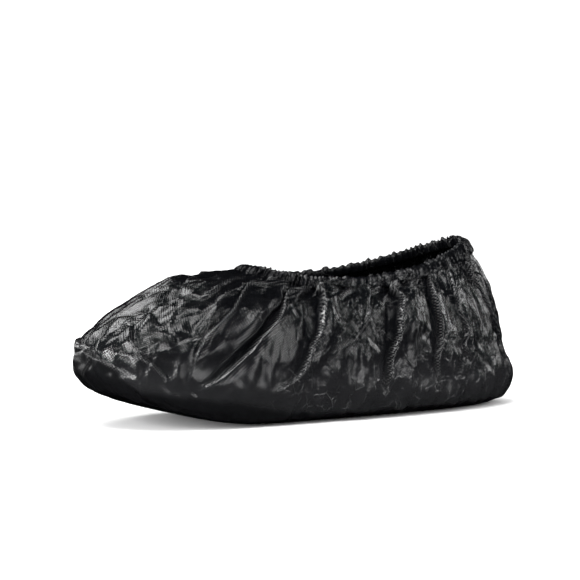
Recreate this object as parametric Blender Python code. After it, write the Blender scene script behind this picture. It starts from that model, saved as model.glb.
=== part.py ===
"""Disposable shoe cover: a film bag, the gathered hem round its opening and the elastic in it.

The cover is built in metres as it is worn: +Z up, the toe towards -Y. The origin is on the
inner face of the sole, where the cover sits on what it is worn over.
"""

import math

import bpy
import numpy as np

# Overall sizes of the worn cover.
LENGTH = 0.326
WIDTH = 0.121
HEIGHT = 0.1145

# The folds make one side fuller: this puts the middle of the cover back over the origin.
SIDE_SHIFT = -0.00092
LENGTH_SHIFT = 0.00048

# Driving dimensions of the pieces.
FILM_WALL = 0.0012
CHANNEL_WALL = 0.0010
CHANNEL_DEPTH = 0.0042
PIECE_GAP = 0.0003
ELASTIC_WIDTH = 0.0014
ELASTIC_HEIGHT = 0.0024
RIM_GATHER_HEIGHT = 0.0013
RUFFLE_HEIGHT = 0.0016

# Counts round the opening and along the wall.
BAG_COLUMNS = 128
RIM_GATHERS = 32
HEM_COLUMNS = 192
RUFFLES = 48
ELASTIC_COLUMNS = 80
FOLD_STEPS = 14
SHARP_ANGLE = math.radians(50)

# One level ring of the cover per row, from the sole's edge up to the hem's top.
# toe, heel and widest are Y as shares of LENGTH, half is a share of WIDTH / 2, the powers
# square off the front and the rear of the ring, and the rises are Z as shares of HEIGHT.
RING_COLUMNS = (
    "toe", "heel", "widest", "half",
    "front_power", "rear_power", "toe_rise", "side_rise", "heel_rise",
)
RING_ROWS = {
    "sole_edge": (-0.428, 0.442, -0.153, 0.702, 2.2, 2.6, 0.166, 0.000, 0.000),
    "turn_up": (-0.451, 0.472, -0.172, 0.860, 2.2, 2.6, 0.188, 0.039, 0.044),
    "bulge": (-0.501, 0.499, -0.186, 1.000, 2.2, 2.6, 0.336, 0.210, 0.192),
    "shoulder": (-0.495, 0.474, -0.172, 0.992, 2.2, 2.5, 0.454, 0.419, 0.393),
    "instep": (-0.377, 0.456, -0.132, 0.909, 2.3, 2.4, 0.686, 0.664, 0.611),
    "waist": (-0.265, 0.430, -0.058, 0.777, 2.4, 2.3, 0.821, 0.729, 0.799),
    "neck": (-0.144, 0.398, 0.025, 0.653, 2.4, 2.2, 0.822, 0.747, 0.939),
    "hem_top": (-0.131, 0.386, 0.035, 0.612, 2.4, 2.2, 0.868, 0.803, 1.000),
}
NECK_LEVEL = 6.0
HEM_LEVEL = 7.0
BAG_LEVELS = (0.0, 0.45, 1.0, 1.5, 2.0, 2.5, 3.0, 3.4, 3.8, 4.2, 4.7, 5.25, 5.7, 6.0)

# One fold of the film per row: three stations along it, each an angle round the cover in
# degrees (0 side, -90 toe, 90 heel) with a ring level, then its half width and its height as
# shares of HEIGHT. A height below zero is a crease. copies says on which sides it lies.
FOLD_COLUMNS = (
    "start_angle", "start_level", "mid_angle", "mid_level", "end_angle", "end_level",
    "half_width", "height", "copies",
)
FOLD_ROWS = (
    (-64, 6.0, -38, 4.3, -32, 2.2, 0.050, 0.024, "both"),
    (-48, 6.0, -36, 4.4, -30, 3.1, 0.040, 0.018, "near"),
    (-26, 5.9, -13, 4.0, -21, 2.9, 0.045, 0.026, "both"),
    (-26, 6.0, -6, 3.9, -26, 2.1, 0.040, -0.034, "near"),
    (-16, 5.8, 2, 4.0, 5, 3.2, 0.038, -0.026, "both"),
    (-15, 6.0, 8, 4.1, 3, 2.0, 0.042, 0.034, "near"),
    (9, 6.0, 18, 4.1, 12, 2.8, 0.050, 0.028, "both"),
    (18, 6.0, 23, 3.8, 22, 1.8, 0.045, -0.028, "near"),
    (28, 5.9, 29, 4.0, 28, 2.4, 0.045, 0.018, "near"),
    (34, 5.9, 34, 4.1, 34, 2.4, 0.042, -0.024, "both"),
    (41, 5.9, 42, 4.1, 42, 2.7, 0.042, 0.022, "both"),
    (52, 5.9, 51, 4.2, 52, 2.2, 0.042, -0.018, "near"),
    (74, 5.6, 74, 4.0, 76, 2.2, 0.040, -0.016, "both"),
    (90, 6.0, 90, 4.0, 90, 1.4, 0.022, 0.018, "middle"),
    (-90, 2.1, -90, 1.6, -90, 1.0, 0.026, 0.012, "middle"),
    (-112, 3.2, -72, 2.7, -50, 2.1, 0.040, 0.022, "near"),
    (-66, 2.7, -58, 2.4, -48, 2.1, 0.030, -0.014, "near"),
    (-96, 3.6, -74, 3.8, -56, 3.3, 0.060, -0.028, "near"),
    (-60, 4.3, -80, 4.9, -104, 5.6, 0.075, -0.026, "near"),
    (-80, 4.2, -62, 3.6, -48, 2.8, 0.050, 0.018, "near"),
    (-40, 1.9, -20, 1.8, 4, 1.4, 0.060, -0.018, "both"),
    (-122, 4.6, -118, 3.8, -126, 2.6, 0.055, -0.022, "near"),
    (-140, 5.6, -148, 4.2, -144, 2.6, 0.050, 0.020, "near"),
    (196, 5.8, 188, 4.0, 192, 2.2, 0.045, -0.026, "near"),
)

# One finish per node.
FINISH_COLUMNS = ("red", "green", "blue", "roughness")
FINISH_ROWS = {
    "film_bag": (0.011, 0.012, 0.013, 0.34),
    "gathered_hem": (0.012, 0.013, 0.014, 0.38),
    "elastic_band": (0.020, 0.020, 0.021, 0.70),
}


def clear_scene():
    """Remove every object of the scene."""
    for old in list(bpy.data.objects):
        bpy.data.objects.remove(old, do_unlink=True)


def ring_values(levels):
    """Ring columns at each level, by cubic steps that never overshoot a row."""
    rows = np.array(list(RING_ROWS.values()))
    steps = np.diff(rows, axis=0)
    slopes = np.zeros_like(rows)
    product = steps[:-1] * steps[1:]
    total = steps[:-1] + steps[1:]
    safe = np.where(product > 0, total, 1.0)
    slopes[1:-1] = np.where(product > 0, 2 * product / safe, 0.0)
    slopes[0] = steps[0]
    slopes[-1] = steps[-1]
    place = np.asarray(levels, float)
    low = np.clip(np.floor(place).astype(int), 0, len(rows) - 2)
    part = (place - low)[..., None]
    ease = part * part * (3 - 2 * part)
    bend_out = part * (1 - part) ** 2
    bend_in = part * part * (part - 1)
    return rows[low] + ease * steps[low] + bend_out * slopes[low] + bend_in * slopes[low + 1]


def skin_points(angles, levels):
    """Points of the smooth cover at angles in degrees and ring levels, of equal shapes."""
    turn = np.radians(np.asarray(angles, float))
    values = dict(zip(RING_COLUMNS, np.moveaxis(ring_values(levels), -1, 0)))
    across, along = np.cos(turn), np.sin(turn)
    front = along < 0
    power = np.where(front, values["front_power"], values["rear_power"])
    size = (np.abs(across) ** power + np.abs(along) ** power) ** (-1 / power)
    toe_reach = values["widest"] - values["toe"]
    heel_reach = values["heel"] - values["widest"]
    reach = np.where(front, toe_reach, heel_reach)
    share = np.abs(size * along)
    end_rise = np.where(front, values["toe_rise"], values["heel_rise"])
    x = SIDE_SHIFT + WIDTH / 2 * values["half"] * size * across
    y = LENGTH_SHIFT + LENGTH * (values["widest"] + reach * size * along)
    rise = values["side_rise"] + (end_rise - values["side_rise"]) * share**2
    return np.stack([x, y, HEIGHT * rise - FILM_WALL], axis=-1)


def unit(vectors):
    """Vectors made one long."""
    return vectors / np.linalg.norm(vectors, axis=-1, keepdims=True)


def skin_normals(angles, levels):
    """Outward normals of the smooth cover."""
    step = 0.02
    round_way = skin_points(angles + 0.5, levels) - skin_points(angles - 0.5, levels)
    upper = np.minimum(levels + step, HEM_LEVEL)
    lower = np.maximum(levels - step, 0.0)
    up_way = skin_points(angles, upper) - skin_points(angles, lower)
    return unit(np.cross(round_way, up_way))


def fold_paths():
    """Each fold's stations as points of the cover, with its half width and height."""
    paths = []
    for row in FOLD_ROWS:
        fold = dict(zip(FOLD_COLUMNS, row))
        part = np.linspace(0, 1, FOLD_STEPS)
        start, middle, end = (1 - part) ** 2, 2 * part * (1 - part), part**2
        pull_angle = 2 * fold["mid_angle"] - (fold["start_angle"] + fold["end_angle"]) / 2
        pull_level = 2 * fold["mid_level"] - (fold["start_level"] + fold["end_level"]) / 2
        angle = start * fold["start_angle"] + middle * pull_angle + end * fold["end_angle"]
        level = start * fold["start_level"] + middle * pull_level + end * fold["end_level"]
        level = np.clip(level, 0.0, HEM_LEVEL)
        paths.append((angle, level, fold["half_width"] * HEIGHT, fold["height"] * HEIGHT))
        if fold["copies"] == "both":
            mirrored = 180 - angle - 4
            paths.append((mirrored, level, fold["half_width"] * HEIGHT, fold["height"] * HEIGHT))
    return paths


def fold_relief(points):
    """How far each point is lifted off the smooth cover by all the folds."""
    relief = np.zeros(points.shape[:-1])
    for angle, level, half_width, height in fold_paths():
        stations = skin_points(angle, level)
        share = np.linspace(0, 1, FOLD_STEPS)
        strength = np.sin(math.pi * np.clip(0.16 + 0.84 * share, 0, 1)) ** 0.7
        nearest = np.full(relief.shape, np.inf)
        weight = np.zeros(relief.shape)
        for first, last, low, high in zip(stations, stations[1:], strength, strength[1:]):
            run = last - first
            part = np.clip((points - first) @ run / max(run @ run, 1e-12), 0, 1)
            away = np.linalg.norm(points - first - part[..., None] * run, axis=-1)
            closer = away < nearest
            weight = np.where(closer, low + (high - low) * part, weight)
            nearest = np.minimum(nearest, away)
        relief += height * weight * np.exp(-((nearest / half_width) ** 2))
    return relief


def uneven(turn, seed):
    """A slow wave round the cover between about 0.6 and 1.4."""
    return 1 + 0.22 * np.sin(3 * turn + seed) + 0.16 * np.sin(7 * turn + 2.1 * seed)


def rim_relief(angles, levels):
    """Gathers that spread down from the opening and fade into the wall."""
    turn = np.radians(angles)
    fade = np.clip((levels - 4.4) / (NECK_LEVEL - 4.4), 0, 1) ** 1.5
    wave = np.sin(RIM_GATHERS * turn + 0.6 * np.sin(2 * turn))
    return RIM_GATHER_HEIGHT * fade * wave * uneven(turn, 0.7)


def bag_wall():
    """Outer wall of the bag as an array of levels by columns, with its normals."""
    columns = -90 + 360 * np.arange(BAG_COLUMNS) / BAG_COLUMNS
    angles, levels = np.meshgrid(columns, np.array(BAG_LEVELS))
    smooth = skin_points(angles, levels)
    clear = np.clip((levels - 0.5) / 0.9, 0, 1)
    lift = fold_relief(smooth) * clear + rim_relief(angles, levels)
    way = skin_normals(angles, levels)
    way[..., 2] *= np.clip((NECK_LEVEL - levels) / 0.8, 0, 1)
    return smooth + unit(way) * lift[..., None]


def grid_faces(rows, columns, first=0, closed=False):
    """Quads of a grid that is closed round its columns, and round its rows if closed."""
    faces = []
    for row in range(rows if closed else rows - 1):
        below = first + row * columns
        above = first + (row + 1) % rows * columns
        for column in range(columns):
            after = (column + 1) % columns
            faces.append((below + column, below + after, above + after, above + column))
    return faces


def sole_faces(columns, first):
    """Faces across the sole between the columns of its two sides, looking down."""
    faces = []
    for column in range(columns // 2):
        right, next_right = column, column + 1
        left, next_left = (columns - column) % columns, (columns - column - 1) % columns
        corners = [right, left, next_left, next_right]
        kept = [first + corner for index, corner in enumerate(corners)
                if corner not in corners[:index]]
        faces.append(tuple(kept))
    return faces


def vertex_normals(points, faces):
    """Area-weighted normals of a mesh of triangles and quads."""
    normals = np.zeros_like(points)
    for face in faces:
        corners = points[list(face)]
        across = corners[2] - corners[0]
        other = corners[-1] - corners[1] if len(face) == 4 else corners[1] - corners[0]
        way = np.cross(across, other) if len(face) == 4 else np.cross(other, across)
        for corner in face:
            normals[corner] += way / np.linalg.norm(way)
    return unit(normals)


def add_piece(name, points, faces):
    """A mesh object with its own finish, from points in metres."""
    mesh = bpy.data.meshes.new(name)
    mesh.from_pydata([tuple(point) for point in points], [], faces)
    mesh.validate()
    for polygon in mesh.polygons:
        polygon.use_smooth = True
    mesh.set_sharp_from_angle(angle=SHARP_ANGLE)
    finish = dict(zip(FINISH_COLUMNS, FINISH_ROWS[name]))
    material = bpy.data.materials.new(name)
    material.use_nodes = True
    shader = material.node_tree.nodes["Principled BSDF"]
    colour = (finish["red"], finish["green"], finish["blue"], 1.0)
    shader.inputs["Base Color"].default_value = colour
    shader.inputs["Roughness"].default_value = finish["roughness"]
    mesh.materials.append(material)
    piece = bpy.data.objects.new(name, mesh)
    bpy.context.scene.collection.objects.link(piece)
    return piece


def build_film_bag():
    """The film bag: outer wall, sole, and the same skin again one wall inside it."""
    wall = bag_wall()
    rows, columns = wall.shape[:2]
    outer = wall.reshape(-1, 3)
    skin = grid_faces(rows, columns) + sole_faces(columns, 0)
    inner = outer - vertex_normals(outer, skin) * FILM_WALL
    count = len(outer)
    faces = list(skin)
    faces += [tuple(count + corner for corner in reversed(face)) for face in skin]
    top = (rows - 1) * columns
    for column in range(columns):
        after = (column + 1) % columns
        faces.append((top + column, top + after, count + top + after, count + top + column))
    return add_piece("film_bag", np.vstack([outer, inner]), faces)


def loop_points(columns, sections):
    """Points of a closed loop on the opening: each section is an outset, a height, a ruffle."""
    angles = -90 + 360 * np.arange(columns) / columns
    turn = np.radians(angles)
    neck = skin_points(angles, np.full(columns, NECK_LEVEL))
    rise = skin_points(angles, np.full(columns, HEM_LEVEL)) - neck
    way = np.roll(neck, -1, axis=0) - np.roll(neck, 1, axis=0)
    out = unit(np.stack([way[:, 1], -way[:, 0], np.zeros(columns)], axis=-1))
    wave = 0.5 + 0.5 * np.sin(RUFFLES * turn + 0.8 * np.sin(3 * turn))
    ruffle_reach = RUFFLE_HEIGHT * wave * uneven(turn, 1.9)
    rings = []
    for outset, height, ruffle in sections:
        reach = outset + ruffle * ruffle_reach
        rings.append(neck + height * rise + out * reach[:, None])
    return np.stack(rings)


def channel_height():
    """Height of the channel at the sides, from the neck ring to the hem's top."""
    side = RING_COLUMNS.index("side_rise")
    return HEIGHT * (RING_ROWS["hem_top"][side] - RING_ROWS["neck"][side])


def build_gathered_hem():
    """The channel: an outer and an inner leg joined over the top, open below."""
    inside = CHANNEL_DEPTH - CHANNEL_WALL
    rise = channel_height()
    low = 2.5 * PIECE_GAP / rise
    crown = 1 - CHANNEL_WALL / rise
    sections = (
        (0.0, low, 0.6),
        (0.0, 0.70, 1.0),
        (-0.2 * CHANNEL_DEPTH, 1.0, 0.8),
        (-0.8 * CHANNEL_DEPTH, 1.0, 0.0),
        (-CHANNEL_DEPTH, 0.70, 0.0),
        (-CHANNEL_DEPTH, low, 0.0),
        (-inside, low, 0.0),
        (-inside, crown, 0.0),
        (-CHANNEL_WALL, crown, 0.5),
        (-CHANNEL_WALL, low, 0.6),
    )
    rings = loop_points(HEM_COLUMNS, sections)
    faces = grid_faces(len(sections), HEM_COLUMNS, closed=True)
    return add_piece("gathered_hem", rings.reshape(-1, 3), faces)


def build_elastic_band():
    """The elastic: a closed flat loop that lies in the channel, clear of its legs."""
    rise = channel_height()
    middle = CHANNEL_DEPTH / 2
    half = ELASTIC_WIDTH / 2
    low = 0.42 - ELASTIC_HEIGHT / rise / 2
    high = 0.42 + ELASTIC_HEIGHT / rise / 2
    sections = (
        (half - middle, low + 0.08, 0.0),
        (half - middle, high - 0.08, 0.0),
        (-middle, high, 0.0),
        (-half - middle, high - 0.08, 0.0),
        (-half - middle, low + 0.08, 0.0),
        (-middle, low, 0.0),
    )
    rings = loop_points(ELASTIC_COLUMNS, sections)
    faces = grid_faces(len(sections), ELASTIC_COLUMNS, closed=True)
    return add_piece("elastic_band", rings.reshape(-1, 3), faces)


def main():
    """Build the three pieces of the cover."""
    clear_scene()
    build_film_bag()
    build_gathered_hem()
    build_elastic_band()


if __name__ == "__main__":
    main()
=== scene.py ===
"""The looks of a disposable shoe cover in thin black embossed film, as it is worn.

The film bag is one wrinkled sheet, simulated and then creased; the hem is a ruffled channel
of the same film round the opening; the elastic lies inside it.
"""

from __future__ import annotations

import logging
import math
from dataclasses import asdict, astuple, dataclass, field
from enum import Enum
from typing import Callable, ClassVar, Iterator

import bpy
import numpy as np
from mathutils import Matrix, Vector


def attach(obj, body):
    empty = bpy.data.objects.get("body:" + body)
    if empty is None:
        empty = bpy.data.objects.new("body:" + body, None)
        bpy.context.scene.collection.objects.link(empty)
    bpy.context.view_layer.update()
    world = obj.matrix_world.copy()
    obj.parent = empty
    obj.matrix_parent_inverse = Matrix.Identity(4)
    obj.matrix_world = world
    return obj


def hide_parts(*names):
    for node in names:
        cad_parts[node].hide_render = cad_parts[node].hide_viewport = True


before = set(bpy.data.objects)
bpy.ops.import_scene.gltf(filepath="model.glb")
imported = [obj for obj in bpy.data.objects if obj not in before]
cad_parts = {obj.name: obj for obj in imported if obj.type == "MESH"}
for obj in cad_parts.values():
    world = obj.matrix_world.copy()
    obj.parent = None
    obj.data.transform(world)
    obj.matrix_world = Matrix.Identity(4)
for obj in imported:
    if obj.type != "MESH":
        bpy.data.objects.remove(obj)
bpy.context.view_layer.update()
LOG = logging.getLogger("shoe_cover")

Array = np.ndarray
Colour = tuple[float, float, float, float]
Corner = tuple[float, float, float]
Pair = tuple[float, float]
# keeps a division by a length above 0; then the end of the random phases, in radians
TINY = 1e-12
PHASE = 6.28


@dataclass(frozen=True)
class CoverSize:
    """Named sizes of the worn cover, in metres."""

    length: float = 0.326
    width: float = 0.121
    height: float = 0.1145
    side_shift: float = -0.00092
    length_shift: float = 0.00048
    seat_drop: float = 0.0012
    neck_level: float = 6.0
    hem_level: float = 7.0


@dataclass(frozen=True)
class Ring:
    """One level ring: Y and Z values are shares of the cover's length and height."""

    toe: float
    heel: float
    widest: float
    half: float
    front_power: float
    rear_power: float
    toe_rise: float
    side_rise: float
    heel_rise: float


RINGS = (
    Ring(-0.428, 0.442, -0.153, 0.702, 2.2, 2.6, 0.166, 0.000, 0.000),
    Ring(-0.451, 0.472, -0.172, 0.860, 2.2, 2.6, 0.188, 0.039, 0.044),
    Ring(-0.501, 0.499, -0.186, 1.000, 2.2, 2.6, 0.336, 0.210, 0.192),
    Ring(-0.495, 0.474, -0.172, 0.992, 2.2, 2.5, 0.454, 0.419, 0.393),
    Ring(-0.377, 0.456, -0.132, 0.909, 2.3, 2.4, 0.686, 0.664, 0.611),
    Ring(-0.265, 0.430, -0.058, 0.777, 2.4, 2.3, 0.821, 0.729, 0.799),
    Ring(-0.144, 0.398, 0.025, 0.653, 2.4, 2.2, 0.822, 0.747, 0.939),
    Ring(-0.131, 0.386, 0.035, 0.612, 2.4, 2.2, 0.868, 0.803, 1.000),
)


@dataclass(frozen=True)
class Fold:
    """One fold of the film through three stations of (angle, ring level).

    Width and height are shares of the cover's height; both adds the mirrored fold.
    """

    start: Pair
    middle: Pair
    end: Pair
    half_width: float
    height: float
    both: bool = False


FOLDS = (
    Fold((-64, 6.0), (-38, 4.3), (-32, 2.2), 0.050, 0.024, True),
    Fold((-48, 6.0), (-36, 4.4), (-30, 3.1), 0.040, 0.018),
    Fold((-26, 5.9), (-13, 4.0), (-21, 2.9), 0.045, 0.026, True),
    Fold((-26, 6.0), (-6, 3.9), (-26, 2.1), 0.040, -0.034),
    Fold((-16, 5.8), (2, 4.0), (5, 3.2), 0.038, -0.026, True),
    Fold((-15, 6.0), (8, 4.1), (3, 2.0), 0.042, 0.034),
    Fold((9, 6.0), (18, 4.1), (12, 2.8), 0.050, 0.028, True),
    Fold((18, 6.0), (23, 3.8), (22, 1.8), 0.045, -0.028),
    Fold((28, 5.9), (29, 4.0), (28, 2.4), 0.045, 0.018),
    Fold((34, 5.9), (34, 4.1), (34, 2.4), 0.042, -0.024, True),
    Fold((41, 5.9), (42, 4.1), (42, 2.7), 0.042, 0.022, True),
    Fold((52, 5.9), (51, 4.2), (52, 2.2), 0.042, -0.018),
    Fold((74, 5.6), (74, 4.0), (76, 2.2), 0.040, -0.016, True),
    Fold((90, 6.0), (90, 4.0), (90, 1.4), 0.022, 0.018),
    Fold((-90, 2.1), (-90, 1.6), (-90, 1.0), 0.026, 0.012),
    Fold((-112, 3.2), (-72, 2.7), (-50, 2.1), 0.040, 0.022),
    Fold((-66, 2.7), (-58, 2.4), (-48, 2.1), 0.030, -0.014),
    Fold((-96, 3.6), (-74, 3.8), (-56, 3.3), 0.060, -0.028),
    Fold((-60, 4.3), (-80, 4.9), (-104, 5.6), 0.075, -0.026),
    Fold((-80, 4.2), (-62, 3.6), (-48, 2.8), 0.050, 0.018),
    Fold((-40, 1.9), (-20, 1.8), (4, 1.4), 0.060, -0.018, True),
    Fold((-122, 4.6), (-118, 3.8), (-126, 2.6), 0.055, -0.022),
    Fold((-140, 5.6), (-148, 4.2), (-144, 2.6), 0.050, 0.020),
    Fold((196, 5.8), (188, 4.0), (192, 2.2), 0.045, -0.026),
)


@dataclass(frozen=True)
class Pleat:
    """A long sharp pleat through stations of (angle, ring level).

    The film comes gently up to the crest from one side and drops steeply on the other.

    Attributes:
        stations: where the crest runs.
        height, depth: of the crest, and of the valley at its foot, in metres.
        reach, hollow: width of the gentle side, and of the valley.
        drop: the side of the steep drop; -1 is towards the toe where the pleat runs down.
        both: adds the mirrored pleat.
    """

    stations: tuple[Pair, ...]
    height: float
    depth: float
    reach: float
    hollow: float
    drop: int = -1
    both: bool = True


PLEATS = (
    Pleat(((-56, 6.1), (-44, 5.4), (-27, 4.1), (-26, 3.7), (-28, 3.4), (-30, 2.7), (-32, 2.2)),
          0.0015, 0.0012, 0.0075, 0.0040),
    Pleat(((-40, 6.1), (-34, 5.6), (-11, 4.5), (-9, 3.6), (-16, 3.1), (-27, 2.1)),
          0.0011, 0.0012, 0.0050, 0.0050, 1),
    Pleat(((-27, 6.1), (-17, 5.1), (-2, 3.9), (-8, 3.2), (-16, 2.6), (-22, 2.25), (-28, 2.0)),
          0.0022, 0.0034, 0.0110, 0.0075),
    Pleat(((-18, 5.6), (-2, 4.4), (3, 3.9), (4, 3.2)),
          0.0006, 0.0018, 0.0030, 0.0035, 1, False),
    Pleat(((-15, 6.1), (-6, 5.5), (4, 4.7), (8, 3.6), (7, 3.0), (5, 2.3), (0, 2.0)),
          0.0021, 0.0032, 0.0100, 0.0065),
    Pleat(((4, 6.1), (10, 5.6), (15, 5.0), (18, 3.8), (16, 3.3), (12, 2.9)),
          0.0014, 0.0016, 0.0080, 0.0050, 1),
    Pleat(((18, 6.1), (21, 5.2), (26, 4.4), (26, 3.4), (24, 2.6), (22, 1.5)),
          0.0019, 0.0042, 0.0090, 0.0090),
    Pleat(((34, 6.1), (35, 4.9), (36, 3.7), (36, 3.1), (34, 2.5), (35, 1.6)),
          0.0017, 0.0030, 0.0080, 0.0070),
    Pleat(((44, 6.1), (43, 5.0), (42, 3.9), (44, 3.3), (42, 2.9), (44, 2.4)),
          0.0013, 0.0018, 0.0070, 0.0055),
    Pleat(((60, 6.1), (55, 5.1), (58, 4.3), (62, 3.7), (68, 3.2), (70, 2.8)),
          0.0013, 0.0017, 0.0060, 0.0050),
    Pleat(((80, 6.0), (78, 5.0), (80, 4.0), (78, 2.6)), 0.0010, 0.0012, 0.0060, 0.0045),
    Pleat(((106, 6.0), (102, 5.0), (100, 3.8), (104, 2.4)), 0.0012, 0.0014, 0.0070, 0.0045,
          1, False),
    Pleat(((-58, 3.4), (-40, 3.4)), 0.0005, 0.0006, 0.0050, 0.0030, 1, False),
    Pleat(((-54, 3.9), (-46, 3.5), (-38, 3.2)), 0.0006, 0.0006, 0.0050, 0.0030, 1, False),
    Pleat(((-62, 4.3), (-75, 4.7), (-105, 5.6)), 0.0012, 0.0022, 0.0080, 0.0110, 1, False),
    Pleat(((-60, 4.3), (-48, 4.5), (-62, 5.6)), 0.0009, 0.0012, 0.0050, 0.0070, -1, False),
    Pleat(((-66, 3.5), (-57, 3.2), (-46, 2.9)), 0.0011, 0.0014, 0.0060, 0.0045, 1, False),
    Pleat(((-62, 3.0), (-50, 2.8), (-42, 2.4), (-40, 2.1)), 0.0012, 0.0018, 0.0070, 0.0050,
          1, False),
    Pleat(((-82, 3.7), (-68, 3.8), (-55, 3.6), (-49, 3.5)), 0.0007, 0.0009, 0.0050, 0.0035,
          1, False),
    Pleat(((-74, 3.4), (-68, 3.8), (-70, 4.3)), 0.0006, 0.0008, 0.0040, 0.0035, -1, False),
    Pleat(((-36, 3.3), (-30, 3.4), (-34, 3.8)), 0.0006, 0.0009, 0.0030, 0.0030, 1, False),
    Pleat(((-118, 3.2), (-100, 3.1), (-80, 2.9), (-68, 2.5), (-50, 2.0)),
          0.0012, 0.0012, 0.0060, 0.0040, 1, False),
    Pleat(((-98, 2.6), (-84, 2.8), (-73, 2.5)), 0.0008, 0.0010, 0.0040, 0.0035, 1, False),
    Pleat(((-88, 1.8), (-80, 2.5), (-86, 3.0)), 0.0008, 0.0009, 0.0040, 0.0035, -1, False),
    Pleat(((-132, 4.6), (-112, 4.0), (-122, 2.9)), 0.0010, 0.0012, 0.0060, 0.0050, -1, False),
)


def unit(vectors: Array) -> Array:
    """Returns the vectors made one long."""
    size = np.linalg.norm(vectors, axis=-1, keepdims=True)
    return vectors / np.maximum(size, TINY)


def smooth_step(value: Array, low: float, high: float) -> Array:
    """Returns 0 below low, 1 above high and an eased step between."""
    part = np.clip((value - low) / (high - low), 0.0, 1.0)
    return part * part * (3.0 - 2.0 * part)


def front_share(angles: Array) -> Array:
    """Returns 1 towards the toe, 0 towards the heel and an eased step between."""
    return smooth_step(-np.sin(np.radians(angles)), -0.35, 0.35)


def eased(place: Array, values: Array) -> Array:
    """Draws a smooth curve through values.

    Args:
        place: where on the curve, counted in values.
        values: what the curve goes through.
    Returns:
        The curve's value at each place.
    """
    low = np.clip(np.floor(place).astype(int), 0, len(values) - 2)
    part = place - low
    padded = np.concatenate([[2 * values[0] - values[1]], values, [2 * values[-1] - values[-2]]])
    before, first, last, after = (padded[low + step] for step in range(4))
    bend = 2 * before - 5 * first + 4 * last - after
    twist = 3 * (first - last) + after - before
    return first + 0.5 * part * (last - before + part * (bend + part * twist))


def run_along(points: Array) -> Array:
    """Returns the length run up to each point, along the first axis."""
    steps = np.linalg.norm(np.diff(points, axis=0), axis=-1)
    return np.concatenate([np.zeros((1, *steps.shape[1:])), np.cumsum(steps, axis=0)])


def path_steps(
    points: Array, path: Array, strength: Array
) -> Iterator[tuple[Array, Array, Array]]:
    """Goes along a path step by step.

    Args:
        points: the points that may lie near the path.
        path, strength: the path's corners, and a value at each.
    Returns:
        For each step its vector, the offset of each point from it, and its strength there.
    """
    for first, last, begin, end in zip(path, path[1:], strength, strength[1:]):
        run = last - first
        share = np.clip((points - first) @ run / max(run @ run, TINY), 0, 1)
        yield run, points - first - share[..., None] * run, begin + (end - begin) * share


@dataclass(frozen=True)
class PleatShape:
    """What all the pleats have in common; widths are in metres.

    Attributes:
        edge: width of the steep drop.
        steps: straight steps from one station to the next.
        mirror: the sum of the angles of a pleat and its mirrored one.
        hang, hang_place, hang_width: how far the crest hangs over its valley, as a share of
            its height, and where.
        line_place, line_width: where the crest's mask lies.
        full_height, full_depth: the height and depth that give a full mask.
    """

    edge: float = 0.0011
    steps: int = 9
    mirror: float = 177.0
    hang: float = -0.7
    hang_place: float = 0.001
    hang_width: float = 0.0026
    line_place: float = 0.0002
    line_width: float = 0.0008
    full_height: float = 0.0016
    full_depth: float = 0.003


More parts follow.
